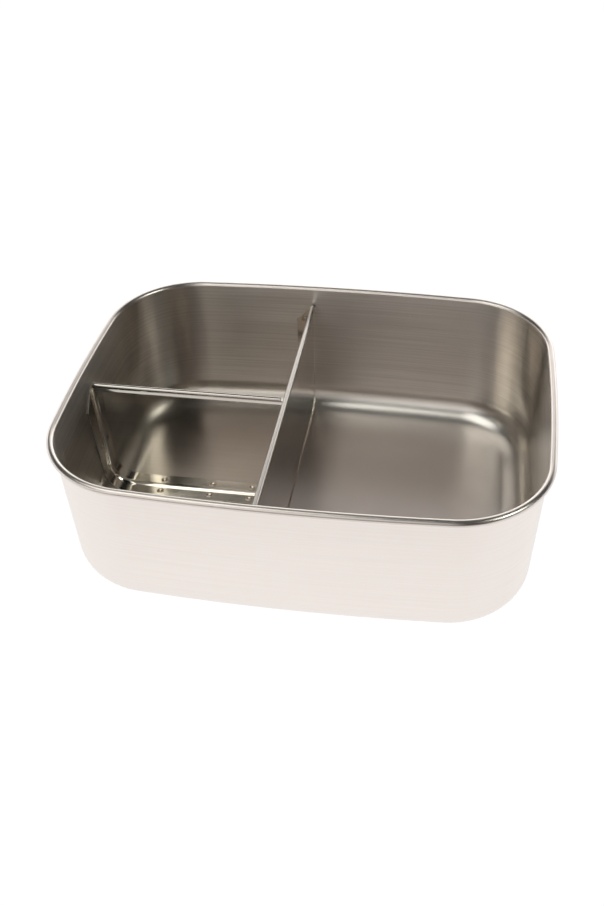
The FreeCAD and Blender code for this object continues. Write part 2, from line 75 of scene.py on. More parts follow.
def share(name, description, default):
    """A property from 0 to 1."""
    return FloatProperty(
        name=name, description=description, default=default, min=0.0, max=1.0, subtype="FACTOR"
    )


def amount(name, description, default):
    """A plain number."""
    return FloatProperty(name=name, description=description, default=default)


def colour(name, description, default):
    """A linear colour without alpha."""
    return FloatVectorProperty(
        name=name, description=description, default=default, size=3, min=0.0, max=1.0, subtype="COLOR"
    )


def place(name, description, default):
    """A point of the row frame in metres."""
    return FloatVectorProperty(name=name, description=description, default=default, size=3, subtype="XYZ")


class ShellSizes(PropertyGroup):
    """Sizes of the drawn shell that its solid's box does not give."""

    corner_radius: length("Corner Radius", "Radius of the rim's four corners", 0.0395)
    long_bow: length("Long Side Bow", "Radius that the two long sides bow out on", 1.0)
    short_bow: length("Short Side Bow", "Radius that the two short sides bow out on", 0.8)
    sheet: length("Sheet", "Thickness of the drawn sheet", 0.0006)
    curl_diameter: length("Curl Diameter", "Outside diameter of the rolled rim", 0.003)
    curl_wrap: angle("Curl Wrap", "How far the rim is rolled round", 285.0)
    wall_draft: angle("Wall Draft", "Lean of the wall from upright", 2.6)
    base_radius: length("Base Radius", "Outside radius between wall and floor", 0.0125)


class DividerSizes(PropertyGroup):
    """Sizes of the folded dividers' hems, of the shoulders under them and of the cut edges."""

    sheet: length("Sheet", "Thickness of the folded sheet", 0.0005)
    hem_diameter: length("Hem Diameter", "Outside diameter of the rolled hems", 0.0023)
    shoulder_drop: length("Shoulder Drop", "From a hem's axis down to the shoulder under it", 0.00125)
    shoulder_nose: length("Shoulder Nose", "Radius of the shoulder's rounded nose", 0.0003)
    shoulder_stand: length("Shoulder Stand", "How far the shoulder stands out of the web", 0.00055)
    shoulder_lean: angle("Shoulder Lean", "Lean of the shoulder's face from upright", 31.0)
    bend_reach: length("Bend Reach", "How far the bend at a divider's foot reaches into its flange", 0.0021)
    edge_slope: share("Edge Slope", "How squarely a face must look away from the web to be a cut edge", 0.5)


class WeldSizes(PropertyGroup):
    """Sizes of the pressed dimples of the spot welds."""

    sunk: length("Sunk", "How far the welded spot lies below the flange's face", 0.0002)
    bowl_diameter: length("Bowl Diameter", "Across the dished middle of a dimple", 0.0018)
    bowl_depth: length("Bowl Depth", "Depth of the dished middle", 0.00013)
    lip_diameter: length("Lip Diameter", "Across the raised lip that covers the hole's edge", 0.0024)
    lip_height: length("Lip Height", "Height of the raised lip", 0.00003)
    stain_diameter: length("Stain Diameter", "Across the ring that heat has tinted", 0.0034)
    film: length("Film", "How far the tinted ring stands out of the sheet", 0.000006)


class SteelFinish(PropertyGroup):
    """Colours and gloss of the steel."""

    # The outside and inside are one drawn sheet: the outside colour is its lit copy and the inside colour its
    # darker shaded copy, painted light and painted shade
    steel: colour("Steel", "Reflected colour of clean steel", (0.88, 0.81, 0.765))
    shaded_inside_steel: colour("Inside Steel", "Reflected colour of the inside walls", (0.715, 0.673, 0.635))
    rim_steel: colour("Rim Steel", "Reflected colour of the rolled rim", (0.77, 0.71, 0.67))
    # Painted shade: the floor's middle is darker than its edge
    shaded_floor_steel: colour("Floor Steel", "Reflected colour of the satin floor's middle", (0.535, 0.477, 0.445))
    long_steel: colour("Long Divider Steel", "Reflected colour of the long divider", (0.80, 0.755, 0.71))
    cross_steel: colour("Cross Divider Steel", "Reflected colour of the cross divider", (0.88, 0.84, 0.775))
    dull_steel: colour("Dull Steel", "Reflected colour of stained or matt sheet", (0.50, 0.465, 0.435))
    heat_tint: colour("Heat Tint", "Colour of the sheet round a weld", (0.30, 0.22, 0.14))
    outside_roughness: share("Outside Roughness", "Roughness of the brushed outside", 0.29)
    wall_roughness: share("Wall Roughness", "Roughness of the brushed inside walls", 0.295)
    base_roughness: share("Base Curve Roughness", "Roughness of the curve between wall and floor", 0.285)
    floor_roughness: share("Floor Roughness", "Roughness of the satin floor", 0.285)
    rim_roughness: share("Rim Roughness", "Roughness of the burnished rim", 0.32)
    divider_roughness: share("Divider Roughness", "Roughness of the bright dividers", 0.10)
    hem_roughness: share("Hem Roughness", "Roughness of the satin hem of the long divider", 0.30)
    polish_roughness: share("Polish Roughness", "Roughness of the polished hem of the cross divider", 0.07)
    edge_roughness: share("Edge Roughness", "Roughness of the sheared flange edges", 0.32)


class StudioSettings(PropertyGroup):
    """Camera, backdrop and room; the colours from the front glow to the ceiling are half their radiance."""

    eye: place("Eye", "Place of the camera", (0.062315, -0.354197, 0.325199))
    target: place("Target", "Point that the camera looks at", (-0.005185, 0.002282, 0.025490))
    roll: angle("Roll", "Turn of the camera about its line of sight", -2.097)
    focal_pixels: amount("Focal Length", "Focal length in pixels of the picture", 1075.229)
    backdrop: colour("Backdrop", "Colour of the floor, and of the world to the camera", (1.0, 1.0, 1.0))
    front_glow: colour("Front Glow", "Glow along the horizon in front of the tray", (0.555, 0.555, 0.54))
    left_glow: colour("Left Glow", "Glow along the horizon on the tray's left", (1.0, 1.0, 0.975))
    right_glow: colour("Right Glow", "Glow along the horizon on the tray's right", (0.003, 0.003, 0.003))
    back_paper: colour("Back Paper", "White paper that stands behind the tray", (0.90, 0.90, 0.88))
    high_paper: colour("High Paper", "Narrow upper end of the paper, in half shade", (0.425, 0.42, 0.41))
    room: colour("Room", "Dim room above the horizon", (0.003, 0.003, 0.003))
    ceiling: colour("Ceiling", "Ceiling straight above the tray", (0.05, 0.05, 0.05))
    far_floor: colour("Far Floor", "Dim floor that reflections see past the board", (0.16, 0.10, 0.07))


def main():
    """Registers the add-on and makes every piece."""
    register()
    for operator in OPERATORS:
        family, name = operator.bl_idname.split(".")
        getattr(getattr(bpy.ops, family), name)()


# Node helpers


def add_node(tree, kind, **settings):
    """A new node with the given settings."""
    node = tree.nodes.new(kind)
    for name, value in settings.items():
        setattr(node, name, value)
    return node


def feed(tree, socket, source):
    """Links a socket to its source, or sets it when the source is a plain value."""
    if isinstance(source, bpy.types.NodeSocket):
        tree.links.new(source, socket)
    else:
        socket.default_value = source


def maths(tree, operation, *values, clamp=False):
    """The result of a Math node."""
    node = add_node(tree, "ShaderNodeMath", operation=operation, use_clamp=clamp)
    for socket, value in zip(node.inputs, values):
        feed(tree, socket, value)
    return node.outputs[0]


def vector_of(tree, x, y, z):
    """A vector from three values."""
    node = add_node(tree, "ShaderNodeCombineXYZ")
    for socket, value in zip(node.inputs, (x, y, z)):
        feed(tree, socket, value)
    return node.outputs[0]


def parts_of(tree, vector):
    """The three values of a vector."""
    node = add_node(tree, "ShaderNodeSeparateXYZ")
    feed(tree, node.inputs[0], vector)
    return node.outputs


def ramp(tree, value, low, high, to_low=0.0, to_high=1.0):
    """Smooth step of a value from one range to another."""
    node = add_node(tree, "ShaderNodeMapRange", interpolation_type="SMOOTHSTEP")
    for socket, source in zip(node.inputs, (value, low, high, to_low, to_high)):
        feed(tree, socket, source)
    return node.outputs[0]


def fall(tree, value, low, high):
    """Smooth step of a value from 1 down to 0."""
    return ramp(tree, value, low, high, 1.0, 0.0)


def swung(tree, pattern, swing, middle):
    """A value that swings evenly about its middle with a pattern from 0 to 1."""
    return maths(tree, "MULTIPLY_ADD", maths(tree, "SUBTRACT", pattern, 0.5), swing, middle)


def noise(tree, vector, scale=1.0, detail=2.0, roughness=0.5):
    """Noise from 0 to 1 at a vector."""
    node = add_node(tree, "ShaderNodeTexNoise")
    feed(tree, node.inputs["Vector"], vector)
    feed(tree, node.inputs["Scale"], scale)
    node.inputs["Detail"].default_value = detail
    node.inputs["Roughness"].default_value = roughness
    return node.outputs["Fac"]


def mixed(tree, factor, first, second):
    """A colour mixed from two."""
    node = add_node(tree, "ShaderNodeMix", data_type="RGBA")
    feed(tree, node.inputs["Factor"], factor)
    feed(tree, node.inputs[6], first)
    feed(tree, node.inputs[7], second)
    return node.outputs[2]


def opaque(rgb):
    """A colour with full alpha."""
    return (*rgb, 1.0)


def tinted(tree, mask, strength, sheet, tint):
    """A sheet's colour with a tint laid over it where a mask is 1."""
    return mixed(tree, maths(tree, "MULTIPLY", mask, strength), sheet, opaque(tint))


# Shared effects


def effect_group(name, inputs, outputs):
    """An empty node group with named sockets, and its input and output nodes."""
    tree = bpy.data.node_groups.new(name, "ShaderNodeTree")
    for label, kind, default in inputs:
        socket = tree.interface.new_socket(label, in_out="INPUT", socket_type=kind)
        if default is not None:
            socket.default_value = default
    for label, kind in outputs:
        tree.interface.new_socket(label, in_out="OUTPUT", socket_type=kind)
    source = tree.nodes.new("NodeGroupInput")
    result = tree.nodes.new("NodeGroupOutput")
    return tree, source.outputs, result.inputs


def use_group(tree, group, **values):
    """Places a node group and sets its inputs; returns its outputs."""
    node = add_node(tree, "ShaderNodeGroup", node_tree=group)
    for label, value in values.items():
        feed(tree, node.inputs[label.replace("_", " ")], value)
    return node.outputs


FINE_SHARE = 0.4
COARSE_SHARE = 0.6


def brush_lines_group():
    """Long fine lines that run along the brushing: a mask from 0 to 1 with coarse and fine lines in it."""
    tree, given, result = effect_group(
        "Brush Lines",
        (
            ("Across", "NodeSocketFloat", 0.0),
            ("Place", "NodeSocketVector", None),
            ("Fine Lines", "NodeSocketFloat", 3200.0),
            ("Coarse Lines", "NodeSocketFloat", 1100.0),
            ("Streak", "NodeSocketFloat", 14.0),
        ),
        (("Lines", "NodeSocketFloat"),),
    )
    x, y = parts_of(tree, given["Place"])[:2]
    along_x = maths(tree, "MULTIPLY", x, given["Streak"])
    along_y = maths(tree, "MULTIPLY", y, given["Streak"])
    fine_across = maths(tree, "MULTIPLY", given["Across"], given["Fine Lines"])
    coarse_across = maths(tree, "MULTIPLY", given["Across"], given["Coarse Lines"])
    fine = noise(tree, vector_of(tree, fine_across, along_x, along_y), detail=3.0)
    coarse = noise(tree, vector_of(tree, coarse_across, along_x, along_y), detail=4.0)
    coarse_part = maths(tree, "MULTIPLY", coarse, COARSE_SHARE)
    feed(tree, result["Lines"], maths(tree, "MULTIPLY_ADD", fine, FINE_SHARE, coarse_part))
    return tree


PATCH_RANGE = (0.35, 0.7)


def wander_group():
    """Slow unevenness of a pressed sheet: a height and a mask, both from soft noise."""
    tree, given, result = effect_group(
        "Sheet Wander",
        (("Place", "NodeSocketVector", None), ("Scale", "NodeSocketFloat", 30.0)),
        (("Height", "NodeSocketFloat"), ("Patches", "NodeSocketFloat")),
    )
    feed(tree, result["Height"], noise(tree, given["Place"], scale=given["Scale"], detail=1.0))
    patches = noise(tree, given["Place"], scale=95.0, detail=4.0, roughness=0.6)
    feed(tree, result["Patches"], ramp(tree, patches, *PATCH_RANGE))
    return tree


SPECK_CORE = 0.4


def specks_group():
    """Small dark pits scattered far apart: a mask that is 1 on a speck."""
    tree, given, result = effect_group(
        "Specks",
        (
            ("Place", "NodeSocketVector", None),
            ("Spread", "NodeSocketFloat", 90.0),
            ("Radius", "NodeSocketFloat", 0.035),
            ("Share", "NodeSocketFloat", 0.25),
        ),
        (("Mask", "NodeSocketFloat"),),
    )
    cells = add_node(tree, "ShaderNodeTexVoronoi", feature="F1")
    feed(tree, cells.inputs["Vector"], given["Place"])
    feed(tree, cells.inputs["Scale"], given["Spread"])
    edge = maths(tree, "MULTIPLY", given["Radius"], SPECK_CORE)
    dot = fall(tree, cells.outputs["Distance"], edge, given["Radius"])
    chance = parts_of(tree, cells.outputs["Color"])[0]
    chosen = maths(tree, "LESS_THAN", chance, given["Share"])
    feed(tree, result["Mask"], maths(tree, "MULTIPLY", dot, chosen))
    return tree


def groups():
    """Every shared effect by name, built on first use."""
    makers = {
        "Brush Lines": brush_lines_group,
        "Sheet Wander": wander_group,
        "Specks": specks_group,
    }
    for name, make in makers.items():
        if name not in bpy.data.node_groups:
            make()
    return bpy.data.node_groups


# Materials


Bump = namedtuple("Bump", "height strength distance")
# Ranges over which a pattern turns a sheet from dull to clean, and a weld's tint comes and goes
DARK_LINES = (0.36, 0.64)
DARK_GRAIN = (0.3, 0.7)
DARK_TEARS = (0.35, 0.65)
TINT_START = (0.35, 0.62)
TINT_END = (0.72, 1.0)
TINT_STRENGTH = 0.75
WELD_ROUGHNESS = 0.14
TINT_ROUGHNESS = 0.25
HAZE = 0.02
RIM_ANISOTROPY = 0.45


def steel_material(name, steel, roughness, anisotropy=0.0):
    """A metal with its place on the object and its shader; the finish is added by the caller."""
    material = bpy.data.materials.new(name)
    material.use_nodes = True
    tree = material.node_tree
    shader = tree.nodes["Principled BSDF"]
    shader.inputs["Base Color"].default_value = opaque(steel)
    shader.inputs["Metallic"].default_value = 1.0
    shader.inputs["Roughness"].default_value = roughness
    shader.inputs["Anisotropic"].default_value = anisotropy
    coordinates = add_node(tree, "ShaderNodeTexCoord")
    return material, tree, shader, coordinates.outputs["Object"]


def brush_tangent(tree, shader):
    """Turns the highlights across the brushing, along the first axis of the brush map."""
    tangent = add_node(tree, "ShaderNodeTangent", direction_type="UV_MAP", uv_map="brush")
    feed(tree, shader.inputs["Tangent"], tangent.outputs[0])


def brush_place(tree):
    """Distance across the brushing, from the brush map."""
    node = add_node(tree, "ShaderNodeUVMap", uv_map="brush")
    return parts_of(tree, node.outputs[0])[0]


def bumps(tree, shader, *layers):
    """Stacks bumps, the lowest first, into the shader's normal."""
    below = None
    for layer in layers:
        node = add_node(tree, "ShaderNodeBump")
        feed(tree, node.inputs["Height"], layer.height)
        node.inputs["Strength"].default_value = layer.strength
        node.inputs["Distance"].default_value = layer.distance
        if below is not None:
            feed(tree, node.inputs["Normal"], below)
        below = node.outputs[0]
    feed(tree, shader.inputs["Normal"], below)


def brushed_wall(name, steel, roughness, anisotropy, contrast):
    """Wall brushed round the tray, with uneven streaks, slow waves and a few pits."""
    finish = bpy.context.scene.steel_finish
    material, tree, shader, here = steel_material(name, steel, roughness, anisotropy)
    brush_tangent(tree, shader)
    brush = use_group(tree, groups()["Brush Lines"], Across=brush_place(tree), Place=here)
    wander = use_group(tree, groups()["Sheet Wander"], Place=here, Scale=24.0)
    specks = use_group(tree, groups()["Specks"], Place=here)
    uneven = swung(tree, brush["Lines"], swing=0.06, middle=roughness)
    feed(tree, shader.inputs["Roughness"], maths(tree, "MULTIPLY_ADD", wander["Patches"], HAZE, uneven))
    dark = fall(tree, brush["Lines"], *DARK_LINES)
    streaked = tinted(tree, dark, contrast, opaque(steel), finish.dull_steel)
    pitted = tinted(tree, specks["Mask"], 0.55, streaked, finish.heat_tint)
    feed(tree, shader.inputs["Base Color"], pitted)
    waves = Bump(wander["Height"], strength=0.5, distance=0.00012)
    scratches = Bump(brush["Lines"], strength=0.25, distance=0.00002)
    bumps(tree, shader, waves, scratches)
    return material


# Shape and range of the fade from the floor's painted shade in its middle to its lighter edge
FLOOR_SQUARENESS = 5.0
FLOOR_SHADE_FADE = (0.25, 1.0)


def floor_shade_fade(tree, here):
    """1 along the floor's rounded edge, fading to 0 towards its middle, where the floor's painted shade lies.
    """
    inset = section_rows(bpy.context.scene.shell_sizes)[-1][0]
    x, y = parts_of(tree, here)[:2]
    outward = []
    for value, half in ((x, TRAY_HIGH.x - inset), (y, TRAY_HIGH.y - inset)):
        part = maths(tree, "DIVIDE", maths(tree, "ABSOLUTE", value), half)
        outward.append(maths(tree, "POWER", part, FLOOR_SQUARENESS))
    return ramp(tree, maths(tree, "ADD", *outward), *FLOOR_SHADE_FADE)


def satin_floor(name, middle, edge, roughness):
    """Flat sheet with a satin grain, hazy patches and pits, coloured from its middle to its edge; on the
    floor the darker middle is painted shade.
    """
    finish = bpy.context.scene.steel_finish
    material, tree, shader, here = steel_material(name, middle, roughness)
    wander = use_group(tree, groups()["Sheet Wander"], Place=here, Scale=18.0)
    specks = use_group(tree, groups()["Specks"], Place=here, Spread=70.0)
    grain = noise(tree, here, scale=5200.0)
    uneven = swung(tree, grain, swing=0.02, middle=roughness)
    feed(tree, shader.inputs["Roughness"], maths(tree, "MULTIPLY_ADD", wander["Patches"], HAZE, uneven))
    # Painted shade: the middle colour, darker on the floor, gives way to the edge colour
    sheet = mixed(tree, floor_shade_fade(tree, here), opaque(middle), opaque(edge))
    clouded = tinted(tree, wander["Patches"], 0.06, sheet, finish.dull_steel)
    pitted = tinted(tree, specks["Mask"], 0.6, clouded, finish.heat_tint)
    feed(tree, shader.inputs["Base Color"], pitted)
    waves = Bump(wander["Height"], strength=0.4, distance=0.0006)
    bumps(tree, shader, waves, Bump(grain, strength=0.12, distance=0.00002))
    return material


def burnished_rim(name):
    """Rolled rim, burnished to a soft sheen along its length."""
    finish = bpy.context.scene.steel_finish
    roughness = finish.rim_roughness
    material, tree, shader, here = steel_material(name, finish.rim_steel, roughness, RIM_ANISOTROPY)
    brush_tangent(tree, shader)
    lines = {"Fine_Lines": 9000.0, "Coarse_Lines": 2600.0}
    brush = use_group(tree, groups()["Brush Lines"], Across=brush_place(tree), Place=here, **lines)
    wander = use_group(tree, groups()["Sheet Wander"], Place=here, Scale=60.0)
    uneven = swung(tree, brush["Lines"], swing=0.02, middle=roughness)
    feed(tree, shader.inputs["Roughness"], uneven)
    clouded = tinted(tree, wander["Patches"], 0.12, opaque(finish.rim_steel), finish.dull_steel)
    feed(tree, shader.inputs["Base Color"], clouded)
    bumps(tree, shader, Bump(wander["Height"], strength=0.3, distance=0.0001))
    return material


def bright_divider(name, steel):
    """Bright rolled sheet with a faint grain along its length."""
    finish = bpy.context.scene.steel_finish
    material, tree, shader, here = steel_material(name, steel, finish.divider_roughness)
    height = parts_of(tree, here)[2]
    lines = {"Fine_Lines": 3600.0, "Coarse_Lines": 1100.0, "Streak": 8.0}
    brush = use_group(tree, groups()["Brush Lines"], Across=height, Place=here, **lines)
    wander = use_group(tree, groups()["Sheet Wander"], Place=here, Scale=34.0)
    specks = use_group(tree, groups()["Specks"], Place=here, Spread=120.0)
    uneven = swung(tree, brush["Lines"], swing=0.10, middle=finish.divider_roughness)
    feed(tree, shader.inputs["Roughness"], uneven)
    streaked = tinted(tree, fall(tree, brush["Lines"], *DARK_GRAIN), 0.12, opaque(steel), finish.dull_steel)
    pitted = tinted(tree, specks["Mask"], 0.4, streaked, finish.heat_tint)
    feed(tree, shader.inputs["Base Color"], pitted)
    bumps(tree, shader, Bump(wander["Height"], strength=0.5, distance=0.0003))
    return material


def rolled_hem(name, steel, roughness, hatching):
    """Rolled hem with a fine slanting hatch, strong on satin and faint on polished steel."""
    finish = bpy.context.scene.steel_finish
    material, tree, shader, here = steel_material(name, steel, roughness)
    slant = maths(tree, "ADD", *parts_of(tree, here)[:2])
    lines = {"Fine_Lines": 2400.0, "Coarse_Lines": 900.0, "Streak": 60.0}
    hatch = use_group(tree, groups()["Brush Lines"], Across=slant, Place=here, **lines)
    feed(tree, shader.inputs["Roughness"], swung(tree, hatch["Lines"], swing=hatching, middle=roughness))
    dark = fall(tree, hatch["Lines"], *DARK_LINES)
    feed(tree, shader.inputs["Base Color"], tinted(tree, dark, hatching, opaque(steel), finish.heat_tint))
    bumps(tree, shader, Bump(hatch["Lines"], strength=hatching, distance=0.00003))
    return material


def sheared_edge():
    """Cut edge of a flange, rough and torn by the shear."""
    finish = bpy.context.scene.steel_finish
    # The cut edge's colour is the shaded inside steel, painted shade; its torn streaks are its own
    steel = finish.shaded_inside_steel
    material, tree, shader, here = steel_material("sheared_edge_steel", steel, finish.edge_roughness)
    tears = noise(tree, here, scale=2600.0, detail=3.0)
    feed(tree, shader.inputs["Roughness"], swung(tree, tears, swing=0.3, middle=finish.edge_roughness))
    dark = fall(tree, tears, *DARK_TEARS)
    feed(tree, shader.inputs["Base Color"], tinted(tree, dark, 0.4, opaque(steel), finish.dull_steel))
    bumps(tree, shader, Bump(tears, strength=0.4, distance=0.00005))
    return material


def weld_steel():
    """Pressed weld dimple, bright in its dish, with a ring that heat has tinted brown."""
    finish = bpy.context.scene.steel_finish
    # The dish takes the shaded inside steel, darker than the divider sheet it sits on: painted shade in the
    # dimple
    material, tree, shader, here = steel_material("spot_weld_steel", finish.shaded_inside_steel, WELD_ROUGHNESS)
    outward = parts_of(tree, add_node(tree, "ShaderNodeUVMap", uv_map="ring").outputs[0])[0]
    wander = use_group(tree, groups()["Sheet Wander"], Place=here, Scale=900.0)
    ragged = swung(tree, wander["Height"], swing=0.5, middle=outward)
    ring = maths(tree, "MULTIPLY", ramp(tree, ragged, *TINT_START), fall(tree, ragged, *TINT_END))
    burnt = maths(tree, "MULTIPLY", ring, TINT_STRENGTH)
    heated = mixed(tree, burnt, opaque(finish.shaded_inside_steel), opaque(finish.heat_tint))
    feed(tree, shader.inputs["Base Color"], heated)
    feed(tree, shader.inputs["Roughness"], maths(tree, "MULTIPLY_ADD", burnt, TINT_ROUGHNESS, WELD_ROUGHNESS))
    bumps(tree, shader, Bump(wander["Height"], strength=0.3, distance=0.00004))
    return material


# Drawn shell


def corner_centre(sizes, half_length, half_width):
    """Centre of the corner arc that runs into both bowed sides."""
    side_centre = Vector((half_length - sizes.short_bow, 0.0))
    back_centre = Vector((0.0, half_width - sizes.long_bow))
    meets = geometry.intersect_sphere_sphere_2d(
        side_centre, sizes.short_bow - sizes.corner_radius, back_centre, sizes.long_bow - sizes.corner_radius
    )
    return side_centre, back_centre, max(meets, key=lambda point: point.x + point.y)


SIDE_STEPS = 20
BACK_STEPS = 32
CORNER_STEPS = 48


def outline_stations(sizes):
    """Stations round the rim, as the arc's centre, its radius and the outward direction."""
    half_length = (TRAY_HIGH.x - TRAY_LOW.x) / 2
    half_width = (TRAY_HIGH.y - TRAY_LOW.y) / 2
    side_centre, back_centre, corner = corner_centre(sizes, half_length, half_width)
    side_turn = math.atan2(corner.y, corner.x - side_centre.x)
    back_turn = math.atan2(corner.y - back_centre.y, corner.x)
    arcs = []
    for half_turn in (0, 1):
        sign = 1 - 2 * half_turn
        start = math.pi * half_turn
        side = (side_centre * sign, sizes.short_bow, start - side_turn, start + side_turn, SIDE_STEPS)
        first = (corner * sign, sizes.corner_radius, start + side_turn, start + back_turn, CORNER_STEPS)
        end = start + math.pi
        back = (back_centre * sign, sizes.long_bow, start + back_turn, end - back_turn, BACK_STEPS)
        mirrored = Vector((-corner.x, corner.y)) * sign
        second = (mirrored, sizes.corner_radius, end - back_turn, end - side_turn, CORNER_STEPS)
        arcs += [side, first, back, second]
    stations = []
    for centre, radius, start, end, steps in arcs:
        for step in range(steps):
            turn = start + (end - start) * step / steps
            stations.append((centre, radius, Vector((math.cos(turn), math.sin(turn)))))
    return stations


OUTSIDE, RIM, INSIDE, BASE, FLOOR, UNDERSIDE = range(6)
OUTER_BASE_STEPS = 12
OUTER_WALL_STEPS = 8
BORE_STEPS = 16
CURL_STEPS = 32
INNER_WALL_STEPS = 10
INNER_BASE_STEPS = 18


def section_rows(sizes):
    """Half section of the sheet as inset, height and finish, from the underside over the rim to the floor."""
    height = TRAY_HIGH.z
    curl = sizes.curl_diameter / 2
    bore = curl - sizes.sheet
    draft = sizes.wall_draft
    wall_side = math.pi - draft
    lip_side = wall_side - sizes.curl_wrap
    curl_centre = (curl, height - curl)

    def polar(centre, radius, turn):
        return centre[0] - radius * math.cos(turn), centre[1] + radius * math.sin(turn)

    wall_inset, wall_height = polar(curl_centre, bore, wall_side)
    base = sizes.base_radius
    floor_inset = wall_inset + (base - (base - wall_height) * math.sin(draft)) / math.cos(draft)
    base_centre = (floor_inset, base)
    rows = []

    def round_stretch(centre, radius, start, end, steps, finish):
        for step in range(steps + 1):
            rows.append((*polar(centre, radius, start + (end - start) * step / steps), finish))

    def straight_stretch(start, end, steps, finish):
        for step in range(1, steps):
            part = step / steps
            inset = start[0] + (end[0] - start[0]) * part
            rows.append((inset, start[1] + (end[1] - start[1]) * part, finish))

    upright = math.pi / 2
    round_stretch(base_centre, base, -upright, -draft, OUTER_BASE_STEPS, OUTSIDE)
    straight_stretch(rows[-1], (wall_inset, wall_height), OUTER_WALL_STEPS, OUTSIDE)
    round_stretch(curl_centre, bore, wall_side, lip_side, BORE_STEPS, RIM)
    round_stretch(curl_centre, curl, lip_side, wall_side, CURL_STEPS, RIM)
    rows[-1] = (*rows[-1][:2], INSIDE)
    inner_foot = polar(base_centre, base - sizes.sheet, -draft)
    straight_stretch(rows[-1], inner_foot, INNER_WALL_STEPS, INSIDE)
    round_stretch(base_centre, base - sizes.sheet, -draft, -upright, INNER_BASE_STEPS, BASE)
    return rows


FLOOR_RINGS = (0.85, 0.7, 0.55, 0.4, 0.25, 0.1)


def shell_mesh(sizes):
    """The drawn sheet as one closed mesh, with the brush map across and along the brushing."""
    stations = outline_stations(sizes)
    rows = section_rows(sizes)
    count = len(stations)
    points = []
    across = [0.0]
    for inset, height, _ in rows:
        for centre, radius, outward in stations:
            spot = centre + outward * (radius - inset)
            points.append((spot.x, spot.y, height))
    for before, after in zip(rows, rows[1:]):
        across.append(across[-1] + math.dist(before[:2], after[:2]))
    around = [0.0]
    for first, second in zip(points[:count], points[1:count] + points[:1]):
        around.append(around[-1] + math.dist(first, second))
    faces = []
    finishes = []
    maps = []
    for row in range(len(rows) - 1):
        for column in range(count):
            following = (column + 1) % count
            lower, upper = row * count, (row + 1) * count
            faces.append((lower + column, lower + following, upper + following, upper + column))
            finishes.append(rows[row][2])
            near, far = around[column], around[column + 1]
            maps += [(across[row], near), (across[row], far), (across[row + 1], far), (across[row + 1], near)]
    last_row = (len(rows) - 1) * count
    for ring, finish in ((last_row, FLOOR), (0, UNDERSIDE)):
        edge = list(range(ring, ring + count))
        for scale in FLOOR_RINGS:
            inner = list(range(len(points), len(points) + count))
            points += [(x * scale, y * scale, height) for x, y, height in points[ring:ring + count]]
            for column in range(count):
                following = (column + 1) % count
                face = (edge[column], edge[following], inner[following], inner[column])
                faces.append(face if finish == FLOOR else face[::-1])
                finishes.append(finish)
            edge = inner
        faces.append(tuple(edge) if finish == FLOOR else tuple(edge[::-1]))
        finishes.append(finish)
    for face in faces[last_row:]:
        maps += [(points[spot][1], points[spot][0]) for spot in face]
    mesh = bpy.data.meshes.new("tray_shell")
    mesh.from_pydata(points, [], faces)
    mesh.polygons.foreach_set("material_index", finishes)
    mesh.polygons.foreach_set("use_smooth", [True] * len(faces))
    layer = mesh.uv_layers.new(name="brush")
    layer.data.foreach_set("uv", [value for pair in maps for value in pair])
    mesh.update()
    mesh.validate()
    mesh.set_sharp_from_angle(angle=SHARP_ANGLE)
    return mesh


def new_object(name, data):
    """Links a new object for a mesh, a lamp or a camera into the scene."""
    piece = bpy.data.objects.new(name, data)
    bpy.context.scene.collection.objects.link(piece)
    return piece


def smooth_mesh(name, points, faces):
    """A closed mesh with smooth faces, sharp edges and normals that point out."""
    mesh = bpy.data.meshes.new(name)
    mesh.from_pydata(points, [], faces)
    shape = bmesh.new()
    shape.from_mesh(mesh)
    bmesh.ops.recalc_face_normals(shape, faces=shape.faces)
    shape.to_mesh(mesh)
    shape.free()
    mesh.polygons.foreach_set("use_smooth", [True] * len(mesh.polygons))
    mesh.set_sharp_from_angle(angle=SHARP_ANGLE)
    return mesh


# Anisotropy and contrast of the brush lines
OUTSIDE_BRUSHING = (0.3, 0.08)
INSIDE_BRUSHING = (0.8, 0.5)
BASE_BRUSHING = (0.0, 0.08)


class LUNCHTRAY_OT_shell(Operator):
    """Sweep the drawn shell round its bowed outline and finish its walls, floor and rolled rim"""

    bl_idname = "lunchtray.shell"
    bl_label = "Drawn Shell"

    def execute(self, context):
        finish = context.scene.steel_finish
        shell = new_object("tray_shell", shell_mesh(context.scene.shell_sizes))
        # The inside walls, base and the floor's edge take the shaded inside copy of the sheet's colour,
        # painted shade
        inside = finish.shaded_inside_steel
        for material in (
            brushed_wall("brushed_outside_steel", finish.steel, finish.outside_roughness, *OUTSIDE_BRUSHING),
            burnished_rim("burnished_rim_steel"),
            brushed_wall("brushed_inside_steel", inside, finish.wall_roughness, *INSIDE_BRUSHING),
            brushed_wall("pressed_base_steel", inside, finish.base_roughness, *BASE_BRUSHING),
            # Floor with painted shade in its middle, lighter towards its edge
            satin_floor("satin_floor_steel", finish.shaded_floor_steel, inside, finish.floor_roughness),
            satin_floor("satin_underside_steel", finish.steel, finish.steel, finish.floor_roughness),
        ):
            shell.data.materials.append(material)
        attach(shell, "root")
        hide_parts("tray")
        return {"FINISHED"}


# Dividers and welds


SHEET, HEM, EDGE = range(3)
HEM_MARGIN = 0.0001


def divider_zones(node, flange_axis, sizes):
    """Material index of each face of a divider: rolled hem, cut edge of the flange, or plain sheet."""
    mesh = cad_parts[node].data
    _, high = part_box(node)
    hem_height = high.z - sizes.hem_diameter / 2
    hem_reach = sizes.hem_diameter / 2 + HEM_MARGIN
    hem_place = high[flange_axis] - sizes.hem_diameter / 2
    bend_end = hem_place - sizes.bend_reach
    zones = []
    for face in mesh.polygons:
        centre = face.center
        out_of_hem = math.hypot(centre[flange_axis] - hem_place, centre.z - hem_height)
        if out_of_hem < hem_reach:
            zones.append(HEM)
        elif centre[flange_axis] < bend_end and abs(face.normal[flange_axis]) > sizes.edge_slope:
            zones.append(EDGE)
        else:
            zones.append(SHEET)
    return zones


SHOULDER_STEPS = 12


